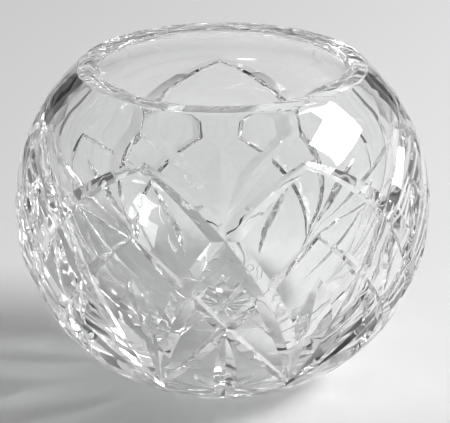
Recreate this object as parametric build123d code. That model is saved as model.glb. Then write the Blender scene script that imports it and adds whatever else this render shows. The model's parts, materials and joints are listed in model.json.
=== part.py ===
from build123d import *
import os
from math import cos, radians, sin, sqrt, tan

# A rose bowl blown in one piece of clear lead crystal and cut on the wheel.
# Frame: +Z up, origin in the middle of the foot, a diamond of the cutting faces -Y.

# Driving dimensions of the blown bowl, in millimetres
belly_diameter = 150.0
belly_height = 65.0
height = 117.0
rim_diameter = 103.6
rim_width = 8.1
foot_diameter = 57.0
inside_diameter = 125.4
inside_height = 77.5
inside_lean = 44.5
lip_radius = 7.9
floor_diameter = 24.0
floor_thickness = 18.0
rim_edge_radius = 0.8
foot_edge_radius = 1.0

# Driving dimensions of the cutting, in millimetres and degrees
arches = 7
mitre_angle = 122.0
leaf_angle = 146.0
plain_band = 16.4
plain_foot = 12.5
arch_cross_rise = 12.4
inner_arch_rise = 12.0
diamond_drop = 21.0
leaf_drop = 2.5
spear_drop = 23.5
spear_foot = 5.0
root_step = 1.6
arch_tip_depth = 0.7
arch_depth = 2.3
arch_root_depth = 0.5
inner_tip_depth = 0.5
inner_arch_depth = 1.35
inner_root_depth = 0.4
leaf_depth = 2.9
spear_depth = 2.4
star_hub = 1.0
star_reach = 24.5
star_depth = 1.5
wheel_clearance = 4.0
wheel_overrun = 1.1
same_level = 0.001

# The blown form: each half of the outer wall is one arc that leaves the belly upright
belly_radius = belly_diameter / 2
rim_radius = rim_diameter / 2
foot_radius = foot_diameter / 2
inside_radius = inside_diameter / 2
floor_radius = floor_diameter / 2


def blown_bowl():
    """The uncut bowl, turned about Z: thickest at the floor, its lip rounded inside."""
    belly = (belly_radius, belly_height)
    rim = (rim_radius, height)
    rim_inside = (rim_radius - rim_width, height)
    inside = (inside_radius, inside_height)
    lean = radians(inside_lean)
    rise = height - inside_height
    inset = inside_radius - rim_inside[0]
    arc_radius = (rise * sin(lean) - inset * cos(lean)) / (1 - cos(lean)) - lip_radius
    slope_foot = (inside_radius - arc_radius * (1 - cos(lean)), inside_height + arc_radius * sin(lean))
    slope_top = (rim_inside[0] + lip_radius * (1 - cos(lean)), height - lip_radius * sin(lean))
    floor_edge = (floor_radius, floor_thickness)
    outline = Curve() + [
        Line((0, 0), (foot_radius, 0)),
        TangentArc(belly, (foot_radius, 0), tangent=(0, -1)),
        TangentArc(belly, rim, tangent=(0, 1)),
        Line(rim, rim_inside),
        TangentArc(rim_inside, slope_top, tangent=(0, -1)),
        Line(slope_top, slope_foot),
        TangentArc(inside, slope_foot, tangent=(0, 1)),
        EllipticalCenterArc(
            (floor_radius, inside_height),
            inside_radius - floor_radius,
            inside_height - floor_thickness,
            start_angle=270,
            arc_size=90,
        ),
        Line(floor_edge, (0, floor_thickness)),
        Line((0, floor_thickness), (0, 0)),
    ]
    bowl = revolve(Plane.XZ * make_face(outline.edges()), Axis.Z)
    return fillet(circles_at(fillet(circles_at(bowl, height), rim_edge_radius), 0), foot_edge_radius)


def circles_at(bowl, level):
    """Round edges of the bowl at one level."""
    circles = bowl.edges().filter_by(GeomType.CIRCLE)
    return circles.filter_by(lambda edge: abs(edge.center().Z - level) < same_level)


def outward(azimuth):
    """Level direction of an azimuth; azimuth 0 is the front."""
    return Vector(sin(radians(azimuth)), -cos(radians(azimuth)), 0)


def on_wall(azimuth, z):
    """Point of the outer wall and the direction that it faces."""
    upper = z > belly_height
    inset = belly_radius - (rim_radius if upper else foot_radius)
    rise = height - belly_height if upper else belly_height
    arc_radius = (inset**2 + rise**2) / (2 * inset)
    reach = sqrt(arc_radius**2 - (z - belly_height) ** 2)
    level = outward(azimuth)
    point = level * (belly_radius - arc_radius + reach) + Vector(0, 0, z)
    return point, (level * reach + Vector(0, 0, z - belly_height)).normalized()


def under_foot(azimuth, radius):
    """Point of the foot's underside and the direction that it faces."""
    return outward(azimuth) * radius, Vector(0, 0, -1)


def mitre(start, middle, end, wheel_angle, surface=on_wall):
    """Wheel cut whose floor is a circle through three places, each given with its depth."""

    def sunk(azimuth, place, depth):
        point, facing = surface(azimuth, place)
        return point - facing * depth

    first, low, last = sunk(*start), sunk(*middle), sunk(*end)
    facing = surface(*middle[:2])[1]
    axis_direction = (low - first).cross(last - low).normalized()
    centre = ThreePointArc(first, low, last).arc_center
    along = axis_direction.cross(low - centre).normalized()
    lift = (facing - along * facing.dot(along)).normalized()
    rise = 2 * middle[2] + wheel_clearance
    spread = rise * tan(radians(wheel_angle / 2))
    edge = Plane(low, x_dir=lift, z_dir=along)
    wedge = edge * make_face(Polyline((0, 0), (rise, spread), (rise, -spread), close=True))
    axis = Axis(centre, axis_direction)
    lead = (first - centre).get_angle(low - centre) * wheel_overrun
    follow = (low - centre).get_angle(last - centre) * wheel_overrun
    return revolve(wedge.rotate(axis, -lead), axis, lead + follow)


def between_peaks(cut):
    """The cut with its ends taken off at the two peaks beside the valley, where its mirror image goes on."""
    for side in (1, -1):
        across = Vector(cos(radians(peak)), side * sin(radians(peak)), 0) * side
        cut = split(cut, Plane((0, 0, 0), z_dir=across), keep=Keep.BOTTOM)
    return cut


def cut_around(bowl, cut):
    """The bowl with one cut made at each arch."""
    return bowl - [cut.rotate(Axis.Z, step * 360 / arches) for step in range(arches)]


# The cutting, set out from one valley between two arches
peak = 180 / arches
arch = mitre(
    (-peak, height - plain_band, arch_tip_depth),
    (0, belly_height + arch_cross_rise, arch_depth),
    (peak, plain_foot, arch_root_depth),
    mitre_angle,
)
inner_arch = mitre(
    (peak, belly_height + inner_arch_rise, inner_tip_depth),
    (0, belly_height - diamond_drop, inner_arch_depth),
    (-peak, plain_foot + root_step, inner_root_depth),
    mitre_angle,
)
leaf_top = belly_height - leaf_drop
leaf = mitre(
    (peak, leaf_top, 0),
    (peak, (leaf_top + plain_foot) / 2, leaf_depth),
    (peak, plain_foot, 0),
    leaf_angle,
)
spear_top = belly_height - spear_drop
spear = mitre(
    (0, spear_top, 0),
    (0, (spear_top + spear_foot) / 2, spear_depth),
    (0, spear_foot, 0),
    mitre_angle,
)
star_ray = mitre(
    (0, star_hub, 0),
    (0, (star_hub + star_reach) / 2, star_depth),
    (0, star_reach, 0),
    mitre_angle,
    under_foot,
)

bowl = blown_bowl()
for slanting in (between_peaks(arch), between_peaks(inner_arch)):
    bowl = cut_around(bowl, slanting)
    bowl = cut_around(bowl, mirror(slanting, Plane.YZ))
for straight in (leaf, spear, star_ray, star_ray.rotate(Axis.Z, peak)):
    bowl = cut_around(bowl, straight)

os.makedirs("parts", exist_ok=True)
export_step(bowl, "parts/cut_crystal_bowl.step")
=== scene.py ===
"""A cut-crystal rose bowl: one blown vessel, its outer wall cut on the wheel."""
import json
import math

import bmesh
import bpy
import numpy as np
from mathutils import Matrix, Vector

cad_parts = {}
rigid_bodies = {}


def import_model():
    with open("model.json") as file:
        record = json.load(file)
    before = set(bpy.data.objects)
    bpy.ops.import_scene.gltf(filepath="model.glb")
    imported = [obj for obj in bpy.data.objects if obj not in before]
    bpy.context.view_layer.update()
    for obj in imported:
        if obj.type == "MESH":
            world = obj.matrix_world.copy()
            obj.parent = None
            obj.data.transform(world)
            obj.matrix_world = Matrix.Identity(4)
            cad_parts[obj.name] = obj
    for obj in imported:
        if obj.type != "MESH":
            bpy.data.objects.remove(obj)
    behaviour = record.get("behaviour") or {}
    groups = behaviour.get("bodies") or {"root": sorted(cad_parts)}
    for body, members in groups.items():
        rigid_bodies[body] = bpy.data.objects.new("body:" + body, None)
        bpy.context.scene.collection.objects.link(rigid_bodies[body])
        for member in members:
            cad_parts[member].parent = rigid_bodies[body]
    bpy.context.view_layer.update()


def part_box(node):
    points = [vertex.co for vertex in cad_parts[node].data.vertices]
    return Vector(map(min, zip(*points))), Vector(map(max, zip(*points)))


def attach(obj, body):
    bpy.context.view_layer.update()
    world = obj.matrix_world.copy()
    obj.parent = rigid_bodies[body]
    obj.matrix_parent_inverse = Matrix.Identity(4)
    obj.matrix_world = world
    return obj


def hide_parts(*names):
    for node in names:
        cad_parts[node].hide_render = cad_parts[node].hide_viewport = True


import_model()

# The blown bowl. A gather of clear lead crystal is blown into a round mould, thick at the floor. Its rim
# is then ground flat and polished, and its foot ground level. One outline is turned about the bowl's axis,
# in as many equal sectors as the cutting has arches.
MM = 0.001
bowl_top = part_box("cut_crystal_bowl")[1]
height = bowl_top.z
belly_radius = bowl_top.x
belly_height = 65.0 * MM
rim_radius = 51.8 * MM
rim_width = 8.1 * MM
foot_radius = 28.5 * MM
inside_radius = 64.2 * MM
inside_height = 78.2 * MM
inside_lean = math.radians(44.2)
rim_lean = math.radians(33)
lip_radius = 35.3 * MM
floor_radius = 12.0 * MM
floor_thickness = 18.0 * MM
rim_edge_radius = 0.8 * MM
foot_edge_radius = 1.0 * MM
arches = 7
sector_steps = 48
shoulder_steps = 40
lower_wall_steps = 58
inner_steps = 40
slope_cuts = 11
lip_steps = 12
edge_steps = 4
merge_distance = 0.002 * MM
ring_tolerance = 0.01 * MM


def upright_arc(inset, rise):
    """Radius of the arc that leaves the belly upright and ends inset from it and rise above it."""
    return (inset**2 + rise**2) / (2 * inset)


def turned_arc(outline, start, level, arc_radius, sweep, steps, lean=0):
    """Spins one vertex of a wall that leans inwards there about a level axis; returns the vertices."""
    first = outline.verts.new((start, 0, level))
    known = set(outline.verts)
    centre = (start - arc_radius * math.cos(lean), 0, level - arc_radius * math.sin(lean))
    bmesh.ops.spin(outline, geom=[first], cent=centre, axis=(0, 1, 0), angle=sweep, steps=steps)
    return [first] + [vert for vert in outline.verts if vert not in known]


inner_rim = rim_radius - rim_width
shoulder_rise = height - belly_height
shoulder_radius = upright_arc(belly_radius - rim_radius, shoulder_rise)
lower_wall_radius = upright_arc(belly_radius - foot_radius, belly_height)
lip_inset = lip_radius * (math.cos(rim_lean) - math.cos(inside_lean))
lip_drop = lip_radius * (math.sin(inside_lean) - math.sin(rim_lean))
inner_rise = height - lip_drop - inside_height
inner_inset = inside_radius - inner_rim - lip_inset
inner_shoulder_radius = (
    inner_rise * math.sin(inside_lean) - inner_inset * math.cos(inside_lean)
) / (1 - math.cos(inside_lean))

outline = bmesh.new()
shoulder = turned_arc(
    outline, belly_radius, belly_height, shoulder_radius,
    -math.asin(shoulder_rise / shoulder_radius), shoulder_steps,
)
lower_wall = turned_arc(
    outline, belly_radius, belly_height, lower_wall_radius,
    math.asin(belly_height / lower_wall_radius), lower_wall_steps,
)
inner_shoulder = turned_arc(
    outline, inside_radius, inside_height, inner_shoulder_radius, -inside_lean, inner_steps,
)
lip = turned_arc(
    outline, inner_rim, height, -lip_radius, rim_lean - inside_lean, lip_steps, rim_lean,
)
inner_reach = inside_radius - floor_radius
inner_bowl = turned_arc(outline, inside_radius, inside_height, inner_reach, math.pi / 2, inner_steps)
inner_drop = (inside_height - floor_thickness) / inner_reach
for vert in inner_bowl:
    vert.co.z = inside_height + (vert.co.z - inside_height) * inner_drop
foot_middle = outline.verts.new((0, 0, 0))
floor_middle = outline.verts.new((0, 0, floor_thickness))
inner_slope = outline.edges.new((inner_shoulder[-1], lip[-1]))
outline.edges.new((shoulder[-1], lip[0]))
outline.edges.new((lower_wall[-1], foot_middle))
outline.edges.new((inner_bowl[-1], floor_middle))
bmesh.ops.subdivide_edges(outline, edges=[inner_slope], cuts=slope_cuts)
bmesh.ops.remove_doubles(outline, verts=outline.verts[:], dist=merge_distance)
bmesh.ops.spin(
    outline, geom=outline.verts[:] + outline.edges[:], cent=(0, 0, 0), axis=(0, 0, 1),
    angle=math.tau / arches, steps=sector_steps,
)
sector = outline.verts[:] + outline.edges[:] + outline.faces[:]
for sector_number in range(1, arches):
    copied = bmesh.ops.duplicate(outline, geom=sector)["geom"]
    bmesh.ops.rotate(
        outline, verts=[item for item in copied if isinstance(item, bmesh.types.BMVert)],
        cent=(0, 0, 0), matrix=Matrix.Rotation(math.tau * sector_number / arches, 3, "Z"),
    )
bmesh.ops.remove_doubles(outline, verts=outline.verts[:], dist=merge_distance)
bmesh.ops.recalc_face_normals(outline, faces=outline.faces[:])


def ring(mesh, z, radius):
    """Edges of the circle of that radius at that height."""
    def lies(vert):
        level = abs(vert.co.z - z) < merge_distance
        return level and abs(vert.co.xy.length - radius) < ring_tolerance
    return [edge for edge in mesh.edges if all(lies(vert) for vert in edge.verts)]


rim_edges = ring(outline, height, rim_radius) + ring(outline, height, inner_rim)
bmesh.ops.bevel(
    outline, geom=rim_edges, offset=rim_edge_radius, affect="EDGES", segments=edge_steps,
    profile=0.5, material=-1,
)
bmesh.ops.bevel(
    outline, geom=ring(outline, 0, foot_radius), offset=foot_edge_radius, affect="EDGES",
    segments=edge_steps, profile=0.5, material=-1,
)
blank = bpy.data.meshes.new("blown_bowl")
outline.to_mesh(blank)
outline.free()
bowl = bpy.data.objects.new("crystal_bowl", blank)
bpy.context.scene.collection.objects.link(bowl)

# The wheel cutting. Each mitre is ground by a stone wheel with a V edge, then polished bright: tall pointed
# arches that cross in the valleys, lower arches inside them, a leaf under each peak, a short upright spear
# below each crossing, and a star of rays under the foot.
mitre_angle = math.radians(122)
leaf_angle = math.radians(146)
plain_band = 16.4 * MM
plain_foot = 12.5 * MM
arch_cross_rise = 12.4 * MM
inner_arch_rise = 12.0 * MM
diamond_drop = 21.0 * MM
leaf_drop = 2.5 * MM
spear_drop = 23.5 * MM
spear_foot = 5.0 * MM
root_step = 1.6 * MM
arch_tip_depth = 0.7 * MM
arch_depth = 2.3 * MM
arch_root_depth = 0.5 * MM
inner_tip_depth = 0.5 * MM
inner_arch_depth = 1.35 * MM
inner_root_depth = 0.4 * MM
leaf_depth = 2.9 * MM
spear_depth = 2.4 * MM
star_hub = 1.0 * MM
star_reach = 24.5 * MM
star_depth = 1.5 * MM
wheel_clearance = 4.0 * MM
wheel_overrun = 1.1
wheel_steps = 60
peak_overlap = 0.02 * MM
cut_face = 1


def outward(azimuth):
    """Level direction of an azimuth; azimuth 0 is the front."""
    return Vector((math.sin(azimuth), -math.cos(azimuth), 0))


def on_wall(azimuth, z):
    """Point of the outer wall and the direction that it faces."""
    radius = shoulder_radius if z > belly_height else lower_wall_radius
    reach = math.sqrt(radius**2 - (z - belly_height) ** 2)
    upright = Vector((0, 0, 1))
    point = outward(azimuth) * (belly_radius - radius + reach) + upright * z
    facing = outward(azimuth) * reach + upright * (z - belly_height)
    return point, facing.normalized()


def under_foot(azimuth, radius):
    """Point of the foot's underside and the direction that it faces."""
    return outward(azimuth) * radius, Vector((0, 0, -1))


def circle_centre(a, b, c):
    """Centre of the circle through three points."""
    ab, ac = b - a, c - a
    square = ab.cross(ac)
    to_centre = square.cross(ab) * ac.length_squared + ac.cross(square) * ab.length_squared
    return a + to_centre / (2 * square.length_squared)


def mitre(start, middle, end, wheel_angle, trims=(), wall=on_wall):
    """Wheel cut whose floor is a circle through three places, each given with its depth."""
    def sunk(azimuth, place, depth):
        point, facing = wall(azimuth, place)
        return point - facing * depth
    first = sunk(*start)
    low = sunk(*middle)
    last = sunk(*end)
    facing = wall(*middle[:2])[1]
    centre = circle_centre(first, low, last)
    axis = (low - first).cross(last - low).normalized()
    along = axis.cross(low - centre).normalized()
    lift = (facing - along * facing.dot(along)).normalized()
    rise = 2 * middle[2] + wheel_clearance
    spread = along.cross(lift) * rise * math.tan(wheel_angle / 2)
    lead = (first - centre).angle(low - centre) * wheel_overrun
    follow = (low - centre).angle(last - centre) * wheel_overrun
    wheel = bmesh.new()
    back = Matrix.Translation(centre) @ Matrix.Rotation(-lead, 4, axis) @ Matrix.Translation(-centre)
    corners = (low, low + lift * rise + spread, low + lift * rise - spread)
    wedge = wheel.faces.new([wheel.verts.new(back @ corner) for corner in corners])
    bmesh.ops.spin(
        wheel, geom=[wedge], cent=centre, axis=axis, angle=lead + follow, steps=wheel_steps,
    )
    bmesh.ops.recalc_face_normals(wheel, faces=wheel.faces[:])
    for trim in trims:
        across = Vector((math.cos(trim), math.sin(trim), 0)) * math.copysign(1, trim)
        trimmed = bmesh.ops.bisect_plane(
            wheel, geom=wheel.verts[:] + wheel.edges[:] + wheel.faces[:],
            plane_co=across * peak_overlap, plane_no=across, clear_outer=True,
        )
        open_edges = [item for item in trimmed["geom_cut"] if isinstance(item, bmesh.types.BMEdge)]
        bmesh.ops.holes_fill(wheel, edges=open_edges)
        bmesh.ops.recalc_face_normals(wheel, faces=wheel.faces[:])
    for face in wheel.faces:
        face.material_index = cut_face
    cut = bpy.data.meshes.new("mitre")
    wheel.to_mesh(cut)
    wheel.free()
    return cut


wheel_cuts = bpy.data.collections.new("wheel_cuts")


def repeat(cut, sides=(1,)):
    """Lays one cut, or the cut and its mirror image, at each arch."""
    for arch_number in range(arches):
        turn = Matrix.Rotation(math.tau * arch_number / arches, 4, "Z")
        for side in sides:
            copy = cut.copy()
            copy.transform(turn @ Matrix.Diagonal((side, 1, 1, 1)))
            if side < 0:
                copy.flip_normals()
            wheel_cuts.objects.link(bpy.data.objects.new("mitre", copy))


peak = math.pi / arches
arch = mitre(
    (-peak, height - plain_band, arch_tip_depth),
    (0, belly_height + arch_cross_rise, arch_depth),
    (peak, plain_foot, arch_root_depth),
    mitre_angle,
    trims=(-peak, peak),
)
repeat(arch, sides=(1, -1))
inner_arch = mitre(
    (peak, belly_height + inner_arch_rise, inner_tip_depth),
    (0, belly_height - diamond_drop, inner_arch_depth),
    (-peak, plain_foot + root_step, inner_root_depth),
    mitre_angle,
    trims=(peak, -peak),
)
repeat(inner_arch, sides=(1, -1))
leaf_top = belly_height - leaf_drop
leaf = mitre(
    (peak, leaf_top, 0),
    (peak, (leaf_top + plain_foot) / 2, leaf_depth),
    (peak, plain_foot, 0),
    leaf_angle,
)
repeat(leaf)
spear_top = belly_height - spear_drop
spear = mitre(
    (0, spear_top, 0),
    (0, (spear_top + spear_foot) / 2, spear_depth),
    (0, spear_foot, 0),
    mitre_angle,
)
repeat(spear)
star_ray = mitre(
    (0, star_hub, 0),
    (0, (star_hub + star_reach) / 2, star_depth),
    (0, star_reach, 0),
    mitre_angle,
    wall=under_foot,
)
repeat(star_ray)
star_ray.transform(Matrix.Rotation(peak, 4, "Z"))
repeat(star_ray)

grinding = bowl.modifiers.new("grinding", "BOOLEAN")
grinding.operation = "DIFFERENCE"
grinding.operand_type = "COLLECTION"
grinding.collection = wheel_cuts
grinding.solver = "MANIFOLD"
ground_bowl = bowl.evaluated_get(bpy.context.evaluated_depsgraph_get())
crystal = bpy.data.meshes.new_from_object(ground_bowl)
bowl.modifiers.remove(grinding)
bowl.data = crystal
for cutter in list(wheel_cuts.objects):
    bpy.data.objects.remove(cutter)
bpy.data.collections.remove(wheel_cuts)

# The polish. The clear walls run smooth up to each crisp cut, so the outer wall keeps the blown form's own
# normals there. Polishing leaves long, very low waves in the blown walls and shorter, deeper ones in the
# cut faces, which break up what is seen through them.
crease_angle = math.radians(9)
wall_tolerance = 0.02 * MM
crystal_colour = (0.985, 0.99, 0.99, 1)
crystal_index = 1.545
blown_wave_length = 30 * MM
blown_wave_height = 0.06 * MM
cut_wave_length = 5.5 * MM
cut_wave_height = 0.35 * MM

crystal.polygons.foreach_set("use_smooth", [True] * len(crystal.polygons))
crystal.set_sharp_from_angle(angle=crease_angle)
places = np.empty(len(crystal.vertices) * 3)
crystal.vertices.foreach_get("co", places)
corner_vertices = np.empty(len(crystal.loops), dtype=int)
crystal.loops.foreach_get("vertex_index", corner_vertices)
face_corners = np.empty(len(crystal.polygons), dtype=int)
crystal.polygons.foreach_get("loop_total", face_corners)
face_kinds = np.empty(len(crystal.polygons), dtype=int)
crystal.polygons.foreach_get("material_index", face_kinds)
x, y, z = places.reshape(-1, 3)[corner_vertices].T
from_axis = np.hypot(x, y)
arc_radius = np.where(z > belly_height, shoulder_radius, lower_wall_radius)
out = from_axis - (belly_radius - arc_radius)
up = z - belly_height
blown = np.repeat(face_kinds, face_corners) != cut_face
on_outer_wall = blown & (abs(np.hypot(out, up) - arc_radius) < wall_tolerance)
level_share = out / np.maximum(from_axis, MM)
wall_normals = np.stack([x * level_share, y * level_share, up], 1) / arc_radius[:, None]
wall_normals[~on_outer_wall] = 0
crystal.normals_split_custom_set(wall_normals.tolist())


def set_sockets(tree, node, sockets):
    """Gives each named socket of a node its value or its link."""
    for name, value in sockets.items():
        if isinstance(value, bpy.types.NodeSocket):
            tree.links.new(value, node.inputs[name])
        else:
            node.inputs[name].default_value = value


def add_node(tree, kind, sockets, **settings):
    """Adds a node, sets its settings first and then its sockets."""
    node = tree.nodes.new(kind)
    for name, setting in settings.items():
        setattr(node, name, setting)
    set_sockets(tree, node, sockets)
    return node


def new_finish(name, sockets):
    """Material with the given sockets of its main shader set."""
    finish = bpy.data.materials.new(name)
    finish.use_nodes = True
    set_sockets(finish.node_tree, finish.node_tree.nodes["Principled BSDF"], sockets)
    return finish


def polished_crystal(name, wave_length, wave_height):
    """Clear lead crystal whose polish leaves waves of that length and height."""
    finish = new_finish(name, {
        "Base Color": crystal_colour,
        "Roughness": 0,
        "IOR": crystal_index,
        "Transmission Weight": 1,
    })
    tree = finish.node_tree
    place = add_node(tree, "ShaderNodeTexCoord", {})
    waves = add_node(tree, "ShaderNodeTexNoise", {
        "Vector": place.outputs["Object"],
        "Scale": 1 / wave_length,
        "Detail": 0,
    })
    relief = add_node(tree, "ShaderNodeBump", {
        "Strength": 1,
        "Distance": wave_height,
        "Height": waves.outputs["Fac"],
    })
    set_sockets(tree, tree.nodes["Principled BSDF"], {"Normal": relief.outputs["Normal"]})
    return finish


crystal.materials.clear()
crystal.materials.append(polished_crystal("crystal", blown_wave_length, blown_wave_height))
crystal.materials.append(polished_crystal("crystal_cut", cut_wave_length, cut_wave_height))
crystal.polygons.foreach_set("material_index", face_kinds)
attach(bowl, "root")
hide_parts("cut_crystal_bowl")

# The floor. A wide sheet of pale matt paper lies under the bowl, a hair below its foot.
# It keeps the bowl's shadow and the light that the glass gathers there.
paper_reach = 3.0
paper_drop = 0.1 * MM
paper_colour = (0.8, 0.8, 0.8, 1)
paper_roughness = 0.9
paper_gloss = 0.1

sheet = bmesh.new()
bmesh.ops.create_grid(
    sheet, x_segments=1, y_segments=1, size=paper_reach, matrix=Matrix.Translation((0, 0, -paper_drop)),
)
paper = bpy.data.meshes.new("floor")
sheet.to_mesh(paper)
sheet.free()
paper.materials.append(new_finish("paper", {
    "Base Color": paper_colour,
    "Roughness": paper_roughness,
    "Specular IOR Level": paper_gloss,
}))
floor = bpy.data.objects.new("floor", paper)
bpy.context.scene.collection.objects.link(floor)

# The dark cards. Two strips of black card stand on the floor behind the bowl, out of the picture on the
# right and on the left. Clear glass shows them as the dark bands on its shoulders. They are bent round the
# bowl's axis, hide from the camera and cast no shadow.
card_colour = (0.01, 0.01, 0.01, 1)
card_roughness = 0.9
card_steps = 16
right_card = {"start": 143, "end": 155, "distance": 0.42, "height": 0.17}
left_card = {"start": -156, "end": -137.5, "distance": 0.36, "height": 0.18}

black_card = new_finish("card", {"Base Color": card_colour, "Roughness": card_roughness})
for card in (right_card, left_card):
    strip = bmesh.new()
    foot = outward(math.radians(card["start"])) * card["distance"]
    top = foot + Vector((0, 0, card["height"]))
    upright_edge = strip.edges.new([strip.verts.new(foot), strip.verts.new(top)])
    bmesh.ops.spin(
        strip, geom=[upright_edge], cent=(0, 0, 0), axis=(0, 0, 1),
        angle=math.radians(card["end"] - card["start"]), steps=card_steps,
    )
    card_mesh = bpy.data.meshes.new("card")
    strip.to_mesh(card_mesh)
    strip.free()
    card_mesh.materials.append(black_card)
    card_object = bpy.data.objects.new("card", card_mesh)
    card_object.visible_camera = False
    card_object.visible_shadow = False
    card_object.visible_diffuse = False
    bpy.context.scene.collection.objects.link(card_object)

# The light. The room is pale behind the bowl and on its right, and dark towards the viewer, so that the
# glass has something dark to show. One softbox hangs on the right, a little above the bowl.
bright_side = (0.5, 0.87, 0)
fade_reach = 0.6
dark_level = 0.02
bright_level = 0.62
softbox_side = Vector((0.812, 0.014, 0.583)).normalized()
softbox_distance = 1.35
softbox_aim_height = 0.06
softbox_width = 0.72
softbox_height = 0.43
softbox_watts = 19.2

room = bpy.data.worlds.new("studio")
bpy.context.scene.world = room
room.use_nodes = True
room_tree = room.node_tree
direction = add_node(room_tree, "ShaderNodeTexCoord", {})
towards_bright = add_node(
    room_tree, "ShaderNodeVectorMath", {0: direction.outputs["Generated"], 1: bright_side},
    operation="DOT_PRODUCT",
)
room_level = add_node(room_tree, "ShaderNodeMapRange", {
    "Value": towards_bright.outputs["Value"],
    "From Min": -fade_reach,
    "From Max": fade_reach,
    "To Min": dark_level,
    "To Max": bright_level,
})
set_sockets(room_tree, room_tree.nodes["Background"], {"Color": room_level.outputs["Result"]})

softbox = bpy.data.lights.new("softbox", "AREA")
softbox.shape = "RECTANGLE"
softbox.size = softbox_width
softbox.size_y = softbox_height
softbox.energy = softbox_watts
softbox_object = bpy.data.objects.new("softbox", softbox)
softbox_object.location = softbox_side * softbox_distance + Vector((0, 0, softbox_aim_height))
softbox_object.rotation_euler = softbox_side.to_track_quat("Z", "Y").to_euler()
bpy.context.scene.collection.objects.link(softbox_object)

# The camera. A long lens looks down on the bowl from the front, far enough to see into its mouth.
# It aims a little to the right of and below the middle of the belly, and many bounces of light are
# followed, because the cuts reflect it from face to face.
view_distance = 19.78 * belly_radius
view_elevation = math.radians(20.3)
view_turn = math.radians(-0.73)
view_roll = math.radians(-0.2)
focal_pixels = 4096.3
frame_width = 450
sensor_width = 36.0
aim_right = 2.42
aim_down = 9.15
light_bounces = 40

towards_viewer = outward(view_turn) * math.cos(view_elevation) + Vector((0, 0, math.sin(view_elevation)))
picture_right = Vector((0, 0, 1)).cross(towards_viewer).normalized()
picture_up = towards_viewer.cross(picture_right)
belly_middle = Vector((0, 0, belly_height))
aim_shift = (picture_right * aim_right - picture_up * aim_down) * view_distance / focal_pixels
lens = bpy.data.cameras.new("camera")
lens.sensor_width = sensor_width
lens.lens = focal_pixels * sensor_width / frame_width
camera = bpy.data.objects.new("camera", lens)
camera.location = belly_middle + towards_viewer * view_distance
look = (camera.location - belly_middle - aim_shift).to_track_quat("Z", "Y")
camera.rotation_euler = (look.to_matrix() @ Matrix.Rotation(view_roll, 3, "Z")).to_euler()
bpy.context.scene.collection.objects.link(camera)
bpy.context.scene.camera = camera
bpy.context.scene.view_settings.view_transform = "Standard"
cycles = bpy.context.scene.cycles
cycles.blur_glossy = 0
cycles.max_bounces = light_bounces
cycles.glossy_bounces = light_bounces
cycles.transmission_bounces = light_bounces
